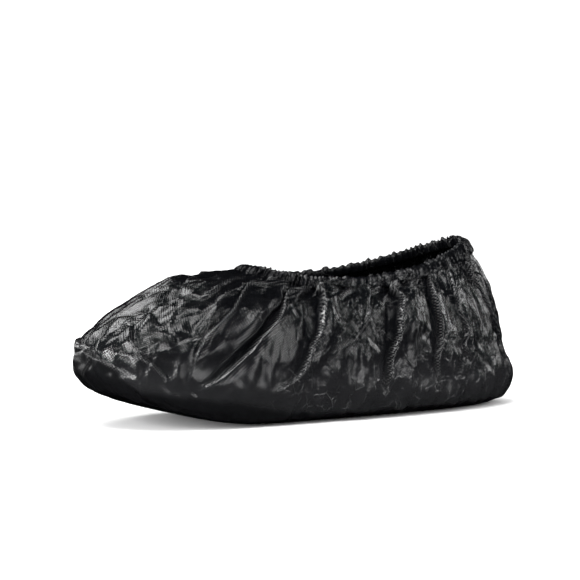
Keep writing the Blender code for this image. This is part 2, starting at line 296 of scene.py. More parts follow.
@dataclass
class CoverForm:
    """The smooth form of the worn cover, and the folds that lie on it.

    Attributes:
        size: the cover's named sizes.
        pleats: what the pleats have in common.
        fold_steps: straight steps along a fold.
        fold_mirror: the sum of the angles of a fold and its mirrored one.
        run_level, run_steps: where the film's run round the cover is measured, and how finely.
        angle_step, level_step: half the steps over which normals are measured.
    """

    size: CoverSize = field(default_factory=CoverSize)
    pleats: PleatShape = field(default_factory=PleatShape)
    fold_steps: int = 22
    fold_mirror: float = 176.0
    run_level: float = 2.5
    run_steps: int = 1441
    angle_step: float = 0.5
    level_step: float = 0.02

    def round_run(self) -> tuple[Array, Array]:
        """Returns angles from the toe round to the toe, and the film's run up to each."""
        angles = np.linspace(-90, 270, self.run_steps)
        return angles, run_along(self.points(angles, np.full(angles.size, self.run_level)))

    @property
    def film_round(self) -> float:
        """The film's length once round the cover, in metres."""
        return float(self.round_run()[1][-1])

    def across(self, angles: Array) -> Array:
        """Returns the film's run from the toe at each angle."""
        table_angles, run = self.round_run()
        return np.interp(np.mod(np.asarray(angles) + 90, 360) - 90, table_angles, run)

    def ring_values(self, levels: Array) -> Array:
        """Interpolates the ring table without overshoot.

        Args:
            levels: ring levels, from 0 at the sole's edge to 7 at the hem's top.
        Returns:
            The ring columns at each level.
        """
        rows = np.array([astuple(ring) for ring in RINGS])
        steps = np.diff(rows, axis=0)
        slopes = np.zeros_like(rows)
        product = steps[:-1] * steps[1:]
        safe = np.where(product > 0, steps[:-1] + steps[1:], 1.0)
        slopes[1:-1] = np.where(product > 0, 2 * product / safe, 0.0)
        slopes[0], slopes[-1] = steps[0], steps[-1]
        place = np.asarray(levels, float)
        low = np.clip(np.floor(place).astype(int), 0, len(rows) - 2)
        part = (place - low)[..., None]
        ease = part * part * (3 - 2 * part)
        bend_out = part * (1 - part) ** 2
        bend_in = part * part * (part - 1)
        return rows[low] + ease * steps[low] + bend_out * slopes[low] + bend_in * slopes[low + 1]

    def points(self, angles: Array, levels: Array) -> Array:
        """Works out points of the smooth cover.

        Args:
            angles: in degrees.
            levels: ring levels.
        Returns:
            The point at each angle and level.
        """
        turn = np.radians(np.asarray(angles, float))
        toe, heel, widest, half, front_power, rear_power, toe_z, side_z, heel_z = np.moveaxis(
            self.ring_values(levels), -1, 0
        )
        across, along = np.cos(turn), np.sin(turn)
        front = along < 0
        power = np.where(front, front_power, rear_power)
        reach_size = (np.abs(across) ** power + np.abs(along) ** power) ** (-1 / power)
        reach = np.where(front, widest - toe, heel - widest)
        share = np.abs(reach_size * along)
        end_z = np.where(front, toe_z, heel_z)
        size = self.size
        x = size.side_shift + size.width / 2 * half * reach_size * across
        y = size.length_shift + size.length * (widest + reach * reach_size * along)
        z = size.height * (side_z + (end_z - side_z) * share**2) - size.seat_drop
        return np.stack([x, y, z], axis=-1)

    def normals(self, angles: Array, levels: Array) -> Array:
        """Works out outward normals of the smooth cover.

        Args:
            angles: in degrees.
            levels: ring levels.
        Returns:
            The normal at each angle and level.
        """
        step = self.angle_step
        round_way = self.points(angles + step, levels) - self.points(angles - step, levels)
        upper = np.minimum(levels + self.level_step, self.size.hem_level)
        lower = np.maximum(levels - self.level_step, 0.0)
        up_way = self.points(angles, upper) - self.points(angles, lower)
        return unit(np.cross(round_way, up_way))

    def fold_relief(self, points: Array, edge: float) -> Array:
        """Lifts points by all the folds.

        Args:
            points: points near the smooth cover.
            edge: 0 for rounded folds, 1 for folds with a sharp crest.
        Returns:
            The lift of each point off the smooth cover, in metres.
        """
        relief = np.zeros(points.shape[:-1])
        for fold in FOLDS:
            for mirrored in (False, True) if fold.both else (False,):
                relief += self._one_fold(points, fold, mirrored, edge)
        return relief

    def pleat_shift(self, points: Array, normals: Array) -> tuple[Array, Array, Array]:
        """Moves points by all the pleats.

        Args:
            points: points near the smooth cover.
            normals: outward normals of the smooth cover there.
        Returns:
            The shift of each point: up at the crests, down in the valleys, and a little over
            the drop, so that each crest hangs over its valley. Then two masks: 1 at the crests,
            where highlight is painted, and 1 deep in the valleys, where shade is painted.
        """
        shift = np.zeros_like(points)
        crest, valley_shade = np.zeros(len(points)), np.zeros(len(points))
        for pleat in PLEATS:
            for mirrored in (False, True) if pleat.both else (False,):
                moved, sharp, low = self._one_pleat(points, normals, pleat, mirrored)
                shift += moved
                crest = np.maximum(crest, sharp)
                valley_shade = np.maximum(valley_shade, low)
        return shift, crest, valley_shade

    def _one_pleat(
        self, points: Array, normals: Array, pleat: Pleat, mirrored: bool
    ) -> tuple[Array, Array, Array]:
        """Works out one pleat, or its mirrored one.

        Args:
            points, normals: points near the smooth cover, and its outward normals there.
            pleat: the pleat.
            mirrored: takes the pleat on the other side.
        Returns:
            The shift of each point, and the masks of the crest and of the valley, which carry
            painted highlight and painted shade.
        """
        shape = self.pleats
        stations = np.array(pleat.stations, float)
        if mirrored:
            stations[:, 0] = shape.mirror - stations[:, 0]
        count = len(stations) - 1
        place = np.linspace(0, count, shape.steps * count + 1)
        path_level = np.minimum(eased(place, stations[:, 1]), self.size.hem_level)
        path = self.points(eased(place, stations[:, 0]), path_level)
        down = np.linspace(0, 1, len(path))
        strength = np.clip(down / 0.1 + 0.45, 0, 1) * np.clip((1 - down) / 0.2, 0, 1)
        margin = 3 * max(pleat.reach, pleat.hollow)
        low, high = path.min(axis=0) - margin, path.max(axis=0) + margin
        near = np.all((points > low) & (points < high), axis=-1)
        spots, outward = points[near], normals[near]
        nearest = np.full(len(spots), np.inf)
        signed, weight = np.zeros(len(spots)), np.zeros(len(spots))
        sideways = np.zeros_like(spots)
        turn = pleat.drop * (-1 if mirrored else 1)
        for run, offset, here in path_steps(spots, path, strength):
            away = np.linalg.norm(offset, axis=-1)
            side = turn * unit(np.cross(run, outward))
            closer = away < nearest
            signed = np.where(closer, away * np.sign((offset * side).sum(axis=-1)), signed)
            weight = np.where(closer, here, weight)
            sideways = np.where(closer[:, None], side, sideways)
            nearest = np.minimum(nearest, away)
        gentle = np.exp(-np.maximum(signed, 0) / pleat.reach)
        fall = np.clip(-signed / shape.edge, 0, 1)
        foot = np.exp(-np.maximum(-signed - shape.edge, 0) / pleat.hollow)
        rise = np.where(signed > 0, pleat.height * gentle, pleat.height * (1 - fall))
        rise = rise - pleat.depth * foot * fall
        over = np.exp(-(((signed - shape.hang_place) / shape.hang_width) ** 2))
        over = shape.hang * pleat.height * over
        line = np.exp(-(((signed - shape.line_place) / shape.line_width) ** 2))
        shift = np.zeros_like(points)
        shift[near] = weight[:, None] * (rise[:, None] * outward + over[:, None] * sideways)
        crest, valley_shade = np.zeros(len(points)), np.zeros(len(points))
        crest[near] = min(pleat.height / shape.full_height, 1.0) * weight * line
        valley_shade[near] = min(pleat.depth / shape.full_depth, 1.0) * weight * foot * fall
        return shift, crest, valley_shade

    def _one_fold(self, points: Array, fold: Fold, mirrored: bool, edge: float) -> Array:
        """Works out one fold, or its mirrored one.

        Args:
            points: points near the smooth cover.
            fold: the fold.
            mirrored: takes the fold on the other side.
            edge: 0 for rounded, 1 for sharp.
        Returns:
            The lift of each point, in metres.
        """
        part = np.linspace(0, 1, self.fold_steps)
        stations = []
        for first, middle, last in zip(fold.start, fold.middle, fold.end):
            pull = 2 * middle - (first + last) / 2
            stations.append((1 - part) ** 2 * first + 2 * part * (1 - part) * pull + part**2 * last)
        angle, level = stations
        if mirrored:
            angle = self.fold_mirror - angle
        path = self.points(angle, np.clip(level, 0.0, self.size.hem_level))
        strength = np.sin(math.pi * np.clip(0.16 + 0.84 * part, 0, 1)) ** 0.7
        half_width = fold.half_width * self.size.height
        nearest = np.full(points.shape[:-1], np.inf)
        weight = np.zeros(points.shape[:-1])
        for _, offset, here in path_steps(points, path, strength):
            away = np.linalg.norm(offset, axis=-1)
            weight = np.where(away < nearest, here, weight)
            nearest = np.minimum(nearest, away)
        rounded = np.exp(-((nearest / half_width) ** 2))
        sharp = np.exp(-nearest / (0.55 * half_width))
        return fold.height * self.size.height * weight * ((1 - edge) * rounded + edge * sharp)


@dataclass(frozen=True)
class CreasePatch:
    """Random creases of one kind: where they lie, and how long, wide and high they are.

    Angles, lean and spread are in degrees; length, width and height are in metres.
    """

    count: int
    angles: Pair
    levels: Pair
    length: Pair
    width: Pair
    height: Pair
    lean: float
    spread: float


CREASES = (
    CreasePatch(80, (10, 190), (0.8, 5.8), (0.008, 0.026), (0.0011, 0.0020),
                (0.0005, 0.0011), 90.0, 40.0),
    CreasePatch(50, (-60, 20), (1.4, 5.8), (0.008, 0.024), (0.0011, 0.0020),
                (0.0004, 0.0008), 62.0, 40.0),
    CreasePatch(40, (-170, -60), (2.0, 5.7), (0.010, 0.030), (0.0014, 0.0028),
                (0.0004, 0.0009), 20.0, 70.0),
    CreasePatch(50, (190, 290), (0.8, 5.8), (0.008, 0.026), (0.0012, 0.0024),
                (0.0005, 0.0011), 90.0, 50.0),
)


@dataclass
class FacetField:
    """Flat facets between winding straight folds, as in crumpled film.

    Attributes:
        count: how many sets of folds are laid over each other.
        shortest, longest: spacing of the folds, in metres.
        slope: tilt of a facet.
        spread: how far the folds lean from upright, in radians.
        warp, warp_size: how far the folds wind, in spacings, and over how many.
        patch_size: size of the patches that a set covers, in spacings.
        seed: of the random draws.
    """

    count: int = 12
    shortest: float = 0.008
    longest: float = 0.032
    slope: float = 0.10
    spread: float = 0.50
    warp: float = 0.32
    warp_size: float = 3.0
    patch_size: float = 2.6
    seed: int = 23

    def relief(self, across: Array, along: Array, period: float) -> Array:
        """Returns the lift of points of the film, alike where it closes round the cover.

        Args:
            across: run round the cover, in metres.
            along: run up the wall, in metres.
            period: the run once round.
        Returns:
            The lift of each point, in metres.
        """
        here = self._fold(across, along)
        before = self._fold(across - period, along)
        share = smooth_step(across / period, 0.88, 1.0)
        return here + (before - here) * share

    def _fold(self, across: Array, along: Array) -> Array:
        """Lays all the sets of folds over each other.

        Args:
            across, along: run round the cover and up the wall, in metres.
        Returns:
            The lift of each point, in metres.
        """
        draw = np.random.default_rng(self.seed)
        lift = np.zeros(across.shape)
        for index in range(self.count):
            length = self.shortest * (self.longest / self.shortest) ** (index / (self.count - 1))
            lean = draw.normal(0, self.spread)
            warp = self._cloud(across, along, self.warp_size * length, draw)
            phase = (across * math.cos(lean) + along * math.sin(lean)) / length
            phase = phase + self.warp * warp + draw.uniform()
            fold = 2 * np.abs(np.mod(phase, 1.0) - 0.5)
            patches = self._cloud(across, along, self.patch_size * length, draw)
            mask = smooth_step(patches, -0.1, 0.4)
            lift += 0.5 * self.slope * length * (fold - 0.5) * mask
        return lift

    @staticmethod
    def _cloud(across: Array, along: Array, length: float, draw: np.random.Generator) -> Array:
        """Draws soft random hills of about one height.

        Args:
            across, along: run round the cover and up the wall, in metres.
            length: the hills' spacing.
            draw: the random draws.
        Returns:
            The height at each point.
        """
        total = np.zeros(across.shape)
        for _ in range(5):
            turn = draw.uniform(0, math.tau)
            rate = math.tau / (length * draw.uniform(0.7, 1.8))
            ahead = across * math.cos(turn) + along * math.sin(turn)
            total += np.sin(rate * ahead + draw.uniform(0, math.tau))
        return total / 2.2


@dataclass
class CreaseField:
    """Short sharp ridges and valleys pressed into a film.

    Attributes:
        form: the form that they lie on.
        ridges: the share of ridges among them.
        bend: how far they curve.
        through: how far below and above a crease the film is pressed, in metres.
        seed: of the random draws.
    """

    form: CoverForm
    ridges: float = 0.55
    bend: float = 0.25
    through: float = 0.010
    seed: int = 11

    def relief(self, points: Array) -> Array:
        """Presses all the creases into the film.

        Args:
            points: points near the smooth cover.
        Returns:
            The lift of each point, in metres.
        """
        draw = np.random.default_rng(self.seed)
        lift = np.zeros(points.shape[:-1])
        flat = points.reshape(-1, 3)
        out = lift.reshape(-1)
        for patch in CREASES:
            for _ in range(patch.count):
                self._press(flat, out, patch, draw)
        return out.reshape(lift.shape)

    def _press(
        self, flat: Array, out: Array, patch: CreasePatch, draw: np.random.Generator
    ) -> None:
        """Presses one random crease into the film.

        Args:
            flat: the points, as a list.
            out: their lift, which the crease is added to.
            patch: the crease's kind.
            draw: the random draws.
        """
        angle = np.array([draw.uniform(*patch.angles)])
        level = np.array([draw.uniform(*patch.levels)])
        centre = self.form.points(angle, level)[0]
        normal = self.form.normals(angle, level)[0]
        round_way = unit(self.form.points(angle + 1, level)[0] - centre)
        up_way = np.cross(normal, round_way)
        lean = math.radians(patch.lean + draw.normal(0, patch.spread))
        along = math.cos(lean) * round_way + math.sin(lean) * up_way
        across = np.cross(normal, along)
        length = draw.uniform(*patch.length)
        width = draw.uniform(*patch.width)
        height = draw.uniform(*patch.height) * (1 if draw.random() < self.ridges else -1)
        bend = draw.normal(0, self.bend) / length
        near = np.abs(flat - centre).max(axis=-1) < 2.2 * length + 4 * width
        offset = flat[near] - centre
        run, side, depth = offset @ along, offset @ across, offset @ normal
        side = side + bend * run**2
        shape = np.exp(-((run / length) ** 2)) * np.exp(-np.abs(side) / width)
        out[near] += height * shape * np.exp(-((depth / self.through) ** 2))


def closed_grid(rows: int, columns: int) -> list[tuple[int, int, int, int]]:
    """Makes the quads of a grid that is closed round its columns.

    Args:
        rows, columns: points up the grid and round it.
    Returns:
        Four vertex numbers for each quad.
    """
    faces = []
    for row in range(rows - 1):
        for column in range(columns):
            after = (column + 1) % columns
            low, high = row * columns, (row + 1) * columns
            faces.append((low + column, low + after, high + after, high + column))
    return faces


def sole_quads(columns: int) -> list[tuple[int, ...]]:
    """Makes the faces across the sole, between the two halves of the first row.

    Args:
        columns: points round the first row.
    Returns:
        The vertex numbers of each face; the first and the last are triangles.
    """
    faces: list[tuple[int, ...]] = []
    for column in range(columns // 2):
        other = columns - column
        corners = (column, other % columns, (other - 1) % columns, column + 1)
        faces.append(tuple(dict.fromkeys(corners)))
    return faces


def new_piece(name: str, points: Array, faces: list[tuple[int, ...]]) -> bpy.types.Object:
    """Makes a smooth mesh object at the origin.

    Args:
        name: the object's and the mesh's name.
        points: vertices, in metres.
        faces: vertex numbers of each face.
    Returns:
        The linked object.
    """
    mesh = bpy.data.meshes.new(name)
    mesh.from_pydata(points.reshape(-1, 3).tolist(), [], faces)
    mesh.update()
    piece = bpy.data.objects.new(name, mesh)
    bpy.context.scene.collection.objects.link(piece)
    mesh.polygons.foreach_set("use_smooth", np.ones(len(mesh.polygons), bool))
    return piece


def activate(piece: bpy.types.Object) -> None:
    """Makes the piece the only selected object and the active one.

    Args:
        piece: the object.
    """
    bpy.ops.object.select_all(action="DESELECT")
    piece.select_set(True)
    bpy.context.view_layer.objects.active = piece


def apply_modifier(piece: bpy.types.Object, name: str) -> None:
    """Applies one of the piece's modifiers."""
    activate(piece)
    bpy.ops.object.modifier_apply(modifier=name)


def vertex_points(piece: bpy.types.Object) -> Array:
    """Reads where the piece's own vertices are.

    Args:
        piece: the piece, as a mesh.
    Returns:
        One point for each vertex.
    """
    values = np.empty(len(piece.data.vertices) * 3, np.float32)
    piece.data.vertices.foreach_get("co", values)
    return values.reshape(-1, 3).astype(float)


def move_vertices(piece: bpy.types.Object, points: Array) -> None:
    """Puts the piece's vertices at these points."""
    piece.data.vertices.foreach_set("co", points.astype(np.float32).ravel())
    piece.data.update()


def add_values(piece: bpy.types.Object, name: str, values: Array) -> None:
    """Stores one number per vertex as an attribute of the piece."""
    attribute = piece.data.attributes.new(name, "FLOAT", "POINT")
    attribute.data.foreach_set("value", values.astype(np.float32).ravel())


def take_values(piece: bpy.types.Object, name: str) -> Array:
    """Takes an attribute of one number per vertex off the piece.

    Args:
        piece: the piece, as a mesh.
        name: the attribute's name.
    Returns:
        The value of each vertex.
    """
    attribute = piece.data.attributes[name]
    values = np.empty(len(piece.data.vertices), np.float32)
    attribute.data.foreach_get("value", values)
    piece.data.attributes.remove(attribute)
    return values.astype(float)


def add_uv(piece: bpy.types.Object, across: Array, along: Array, period: float) -> None:
    """Stores a UV map in metres of film.

    Args:
        piece: the piece, as a mesh.
        across: a value per vertex round the cover, which starts again after one period.
        along: a value per vertex up the wall.
        period: the film's length once round.
    """
    layer = piece.data.uv_layers.new(name="film")
    corners = np.empty(len(piece.data.loops), np.int32)
    piece.data.loops.foreach_get("vertex_index", corners)
    u, v = across.ravel()[corners], along.ravel()[corners]
    starts = np.empty(len(piece.data.polygons), np.int32)
    totals = np.empty(len(piece.data.polygons), np.int32)
    piece.data.polygons.foreach_get("loop_start", starts)
    piece.data.polygons.foreach_get("loop_total", totals)
    highest = np.repeat(np.maximum.reduceat(u, starts), totals)
    u = np.where(highest - u > period / 2, u + period, u)
    pairs = np.stack([u, v], axis=-1)
    layer.data.foreach_set("uv", pairs.astype(np.float32).ravel())


@dataclass(frozen=True)
class Unevenness:
    """Slow random waves round the opening, which make a row of ruffles uneven.

    Attributes:
        shift_rates, shift: waves that move the ruffles, and their least and most strength.
        height_rates, height: waves that change the ruffles' height, and their strength.
        limits: the lowest and highest share of the height.
        seed: of the random draws.
    """

    shift_rates: tuple[int, ...]
    shift: Pair
    height_rates: tuple[int, ...]
    height: float
    limits: Pair
    seed: int

    def apply(self, phase: Array, turn: Array) -> tuple[Array, Array]:
        """Makes a row of ruffles uneven.

        Args:
            phase: the even ruffles' phase.
            turn: angles round the opening, in radians.
        Returns:
            The moved phase, and the share of the height.
        """
        draw = np.random.default_rng(self.seed)
        share = np.ones(np.shape(turn))
        for rate in self.shift_rates:
            phase = phase + draw.uniform(*self.shift) * np.sin(rate * turn + draw.uniform(0, PHASE))
        for rate in self.height_rates:
            share = share + self.height * np.sin(rate * turn + draw.uniform(0, PHASE))
        return phase, np.clip(share, *self.limits)


@dataclass
class Ruffles:
    """Fine uneven ruffles and larger gathers that the elastic draws into the film.

    Attributes:
        count, height: fine ruffles round the opening.
        gathers, gather_height: the larger gathers, which run down the film.
        fine_waves, large_waves: how uneven they are.
    """

    count: int = 126
    height: float = 0.0021
    gathers: int = 46
    gather_height: float = 0.0031
    fine_waves: Unevenness = Unevenness(
        (3, 7, 11, 19, 31), (0.5, 1.4), (13, 29, 41, 53), 0.3, (0.1, 1.9), 5
    )
    large_waves: Unevenness = Unevenness(
        (2, 5, 9, 14), (0.3, 0.8), (7, 12, 17), 0.35, (0.2, 2.2), 8
    )

    def fine(self, turn: Array, lean: Array | float) -> Array:
        """Works out the fine ruffles.

        Args:
            turn: angles round the opening, in radians.
            lean: what is added to their phase.
        Returns:
            The lift at each angle, in metres.
        """
        phase, share = self.fine_waves.apply(self.count * turn + lean, turn)
        wave = 0.5 + 0.5 * np.sin(phase)
        return self.height * (wave**2.2 - 0.3) * share

    def large(self, turn: Array) -> Array:
        """Works out the gathers.

        Args:
            turn: angles round the opening, in radians.
        Returns:
            The lift at each angle, in metres.
        """
        phase, share = self.large_waves.apply(0.5 * self.gathers * turn, turn)
        lobe = (1 - np.abs(np.sin(phase))) ** 1.3 - 0.3
        return self.gather_height * lobe * share


@dataclass(frozen=True)
class FilmCloth:
    """How the simulated film behaves, by the names of the cloth's own settings.

    The film shrinks by less than nothing: it grows, so that it has to buckle.
    """

    quality: int = 5
    mass: float = 0.06
    tension_stiffness: float = 12.0
    compression_stiffness: float = 12.0
    shear_stiffness: float = 4.0
    bending_stiffness: float = 0.06
    air_damping: float = 2.0
    vertex_group_mass: str = "held"
    pin_stiffness: float = 5.0
    shrink_min: float = -0.04
    use_pressure: bool = True
    uniform_pressure_force: float = 0.15


@dataclass
class FilmBag:
    """The film bag: simulated on a coarse sheet, then refined, pleated and creased.

    Attributes:
        form: the smooth form and its folds.
        ruffles: the gathers at the opening.
        cloth: how the film behaves.
        columns, rows: the coarse sheet's grid; each is doubled when it is refined.
        side_angle: where the rows are spaced evenly up the wall.
        most_move: the farthest that the simulation may carry a point.
        frames: steps of the simulation.
        tuck: the ring level of the upper edge, inside the hem.
        core_grid, core_gap: the grid of the hidden form, and how far inside it lies.
        skin, friction: of the hidden form against the film.
        gather_level: about how far down the gathers reach.
        band_level, band_front, band_cap: the taut band's top, and what front and toe add.
        low_levels: the ring levels over which the lower wall ends, and the painted floor bounce
            light with it.
    """

    form: CoverForm
    ruffles: Ruffles
    cloth: FilmCloth = FilmCloth()
    columns: int = 300
    rows: int = 56
    side_angle: float = -30.0
    most_move: float = 0.0018
    frames: int = 18
    tuck: float = 6.12
    core_grid: tuple[int, int] = (120, 30)
    core_gap: float = 0.0035
    skin: float = 0.0008
    friction: float = 8.0
    gather_level: float = 4.1
    band_level: float = 1.15
    band_front: float = 0.62
    band_cap: float = 1.2
    low_levels: Pair = (1.7, 3.4)

    def grid(self, columns: int, rows: int) -> tuple[Array, Array]:
        """Spaces a grid evenly round the cover and up its side wall.

        Args:
            columns, rows: how many points round and up.
        Returns:
            The angles and the levels.
        """
        table_angles, run = self.form.round_run()
        angle = np.interp(run[-1] * np.arange(columns) / columns, run, table_angles)
        fine = np.linspace(0, self.tuck, 400)
        run = run_along(self.form.points(np.full(fine.size, self.side_angle), fine))
        level = np.interp(np.linspace(0, run[-1], rows), run, fine)
        return np.meshgrid(angle, level)

    def gather_relief(self, angles: Array, levels: Array) -> Array:
        """Spreads the gathers and ruffles down from the opening.

        Args:
            angles: in degrees.
            levels: ring levels.
        Returns:
            The lift of each point, in metres.
        """
        turn = np.radians(angles)
        reach = self.gather_level + 0.7 * np.sin(5 * turn + 1.0) + 0.5 * np.sin(12 * turn)
        fade = np.clip((levels - reach) / (6.0 - reach), 0, 1)
        fine_fade = np.clip((levels - 5.2) / 0.8, 0, 1)
        return self.ruffles.large(turn) * fade**1.3 + self.ruffles.fine(turn, 0.0) * fine_fade**1.5

    def build(self, finish: bpy.types.Material) -> bpy.types.Object:
        """Builds the sheet and gives it its finish.

        Args:
            finish: the film's material.
        Returns:
            The finished piece.
        """
        angles, levels = self.grid(self.columns, self.rows)
        smooth = self.form.points(angles, levels)
        normals = self.form.normals(angles, levels)
        clear = smooth_step(levels, 0.5, 1.4)
        lift = 0.8 * self.form.fold_relief(smooth, 0.3) * clear
        start = smooth + normals * lift[..., None]
        faces = closed_grid(self.rows, self.columns) + sole_quads(self.columns)
        piece = new_piece("film_sheet", start, faces)
        self.simulate(piece, levels)
        self.refine(piece, angles, levels)
        piece.data.materials.append(finish)
        LOG.info("%s: %d vertices", piece.name, len(piece.data.vertices))
        return piece

    def core(self) -> bpy.types.Object:
        """Makes the hidden form that the film can't pass, a little inside the smooth cover."""
        columns, rows = self.core_grid
        angles, levels = self.grid(columns, rows)
        points = self.form.points(angles, levels)
        points -= self.form.normals(angles, levels) * self.core_gap
        core = new_piece("core", points, closed_grid(rows, columns) + sole_quads(columns))
        core.modifiers.new("Collision", "COLLISION")
        core.collision.thickness_outer = self.skin
        core.collision.cloth_friction = self.friction
        return core

    def simulate(self, piece: bpy.types.Object, levels: Array) -> None:
        """Lets the film buckle over a hidden form, and caps how far it moves.

        Args:
            piece: the film, which keeps its new form.
            levels: the ring level of each vertex.
        """
        start = vertex_points(piece)
        scene = bpy.context.scene
        held = piece.vertex_groups.new(name=self.cloth.vertex_group_mass)
        tight = 1 - smooth_step(levels, 0.2, 0.9) + smooth_step(levels, 5.75, 6.0)
        for index, weight in enumerate(tight.ravel()):
            if weight > 0.01:
                held.add([index], float(weight), "REPLACE")
        core = self.core()
        cloth = piece.modifiers.new("Cloth", "CLOTH")
        for name, value in asdict(self.cloth).items():
            setattr(cloth.settings, name, value)
        cloth.settings.effector_weights.gravity = 0.0
        cloth.collision_settings.distance_min = self.skin
        cloth.collision_settings.use_self_collision = False
        scene.frame_start, scene.frame_end = 1, self.frames
        cloth.point_cache.frame_start, cloth.point_cache.frame_end = 1, self.frames
        for step in range(1, self.frames + 1):
            scene.frame_set(step)
        apply_modifier(piece, "Cloth")
        scene.frame_set(1)
        bpy.data.objects.remove(core, do_unlink=True)
        moved = vertex_points(piece) - start
        far = np.linalg.norm(moved, axis=-1)
        LOG.info("film moved %.2f mm at most, %.2f mean", far.max() * 1e3, far.mean() * 1e3)
        cap = self.most_move * np.tanh(far / self.most_move) / np.maximum(far, 1e-9)
        move_vertices(piece, start + moved * cap[:, None])
        piece.vertex_groups.clear()

    def refine(self, piece: bpy.types.Object, angles: Array, levels: Array) -> None:
        """Doubles the grid and presses the pleats, facets, creases and gathers in.

        Args:
            piece: the film.
            angles, levels: where each vertex lay on the smooth cover.
        """
        rise = run_along(self.form.points(angles, levels))
        turn = np.radians(angles)
        known = {"cos": np.cos(turn), "sin": np.sin(turn), "level": levels, "rise": rise}
        for name, values in known.items():
            add_values(piece, name, values)
        finer = piece.modifiers.new("Finer", "SUBSURF")
        finer.levels = finer.render_levels = 1
        apply_modifier(piece, "Finer")
        read = {name: take_values(piece, name) for name in known}
        angle, level = np.degrees(np.arctan2(read["sin"], read["cos"])), read["level"]
        across, period = self.form.across(angle), self.form.film_round
        points = vertex_points(piece)
        smooth, outward = self.form.points(angle, level), self.form.normals(angle, level)
        clear = smooth_step(level, 0.5, 1.3)
        inner = clear * (1 - smooth_step(level, 5.6, 6.0))
        shift, crest, valley_shade = self.form.pleat_shift(smooth, outward)
        points += shift * clear[:, None]
        lift = FacetField().relief(across, read["rise"], period) * inner
        lift *= self.facet_share(angle, level)
        lift += CreaseField(self.form).relief(smooth) * inner
        points += outward * lift[:, None]
        flat_way = outward.copy()
        flat_way[:, 2] *= np.clip((self.form.size.neck_level - level) / 0.8, 0, 1)
        points += unit(flat_way) * self.gather_relief(angle, level)[:, None]
        move_vertices(piece, points)
        self.mark(piece, angle, level, read["rise"])
        # masks for the painted highlight on the crests and the painted shade in the valleys
        add_values(piece, "crest", crest * inner)
        add_values(piece, "valley_shade", valley_shade * inner)

    @staticmethod
    def facet_share(angle: Array, level: Array) -> Array:
        """Weakens the facets at the ends and between the long pleats.

        Args:
            angle, level: where each point lies.
        Returns:
            The share of their strength.
        """
        along = np.sin(np.radians(angle))
        ends = 1 - 0.7 * np.abs(along) ** 10
        folded = np.where(np.abs(angle) <= 90, angle, np.sign(angle) * 180 - angle)
        calm = np.exp(-(((folded + 14) / 20) ** 4)) * smooth_step(level, 2.7, 3.6)
        return (1 - 0.3 * front_share(angle)) * ends * (1 - 0.7 * calm)

    def mark(self, piece: bpy.types.Object, angle: Array, level: Array, rise: Array) -> None:
        """Stores the film's own coordinates and where it is taut, in front or low.

        Args:
            piece: the film.
            angle, level: where each vertex lies.
            rise: its run up the wall, in metres.
        """
        add_uv(piece, self.form.across(angle), rise, self.form.film_round)
        front = front_share(angle)
        cap = smooth_step(-np.sin(np.radians(angle)), 0.80, 0.99)
        band_top = self.band_level + self.band_front * front + self.band_cap * cap
        add_values(piece, "band", 1 - smooth_step(level - band_top, -0.18, 0.12))
        add_values(piece, "front", front)
        # low: the lower wall, which the finish paints lighter as floor bounce light
        add_values(piece, "low", 1 - smooth_step(level, *self.low_levels))


